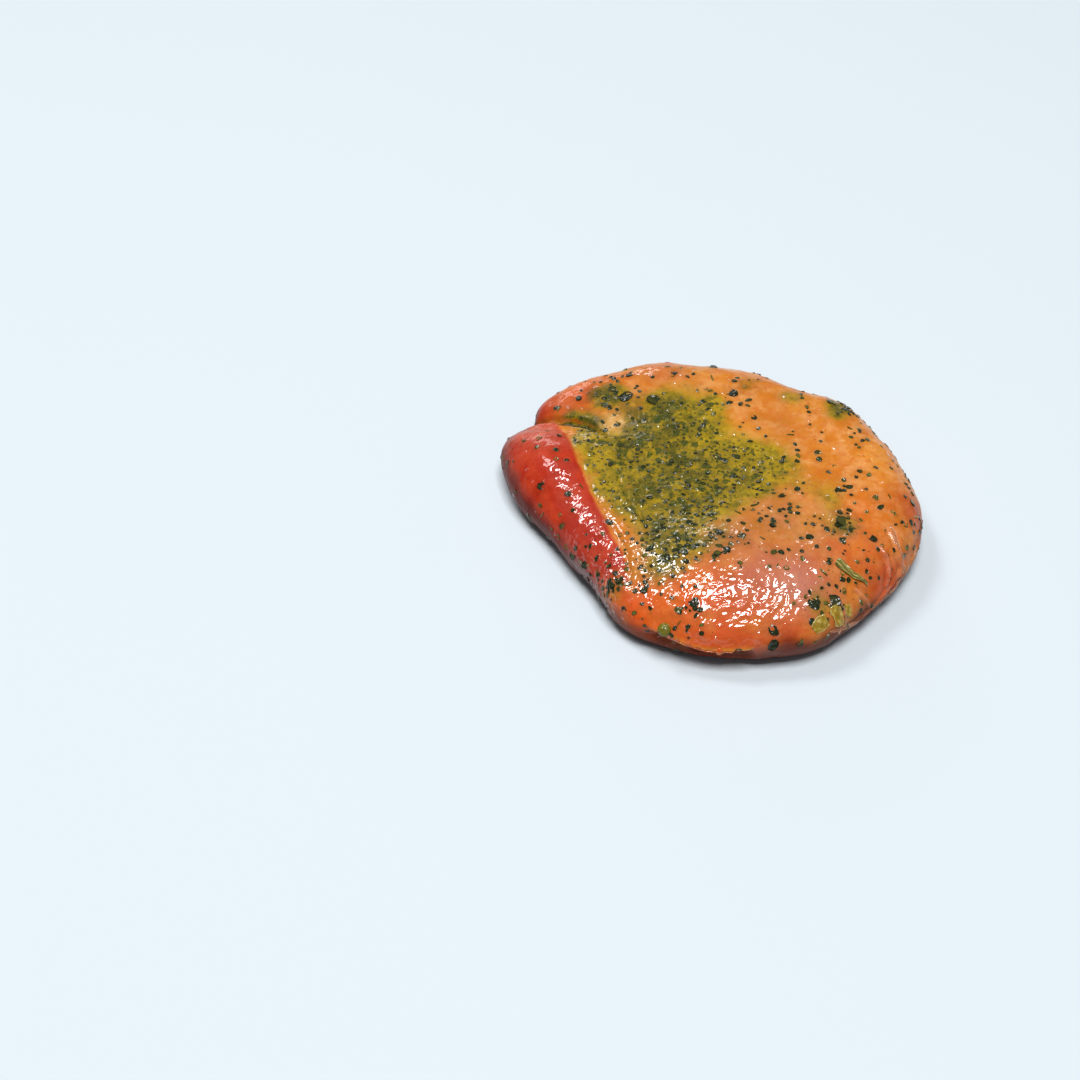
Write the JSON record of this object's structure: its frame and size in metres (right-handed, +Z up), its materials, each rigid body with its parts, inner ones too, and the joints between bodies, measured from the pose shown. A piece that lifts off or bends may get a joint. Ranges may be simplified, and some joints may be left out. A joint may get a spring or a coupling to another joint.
{
  "type": "raw pork chop",
  "caption": "Boneless raw pork chop, a thick rounded steak with a muscle lobe at one side, a fat seam, a cleft and a herb and oil marinade.",
  "frame": {"origin": "centre of the bounding box's bottom, on the flat underside", "axes": "+X along the longest side, +Y towards the back edge, +Z up from the underside"},
  "size_m": [0.12, 0.114, 0.022],
  "materials": {
    "marinated_meat": "wet, glossy raw meat under an orange herb marinade"
  },
  "bodies": {
    "root": {"pork_chop": "marinated_meat"}
  },
  "joints": []
}
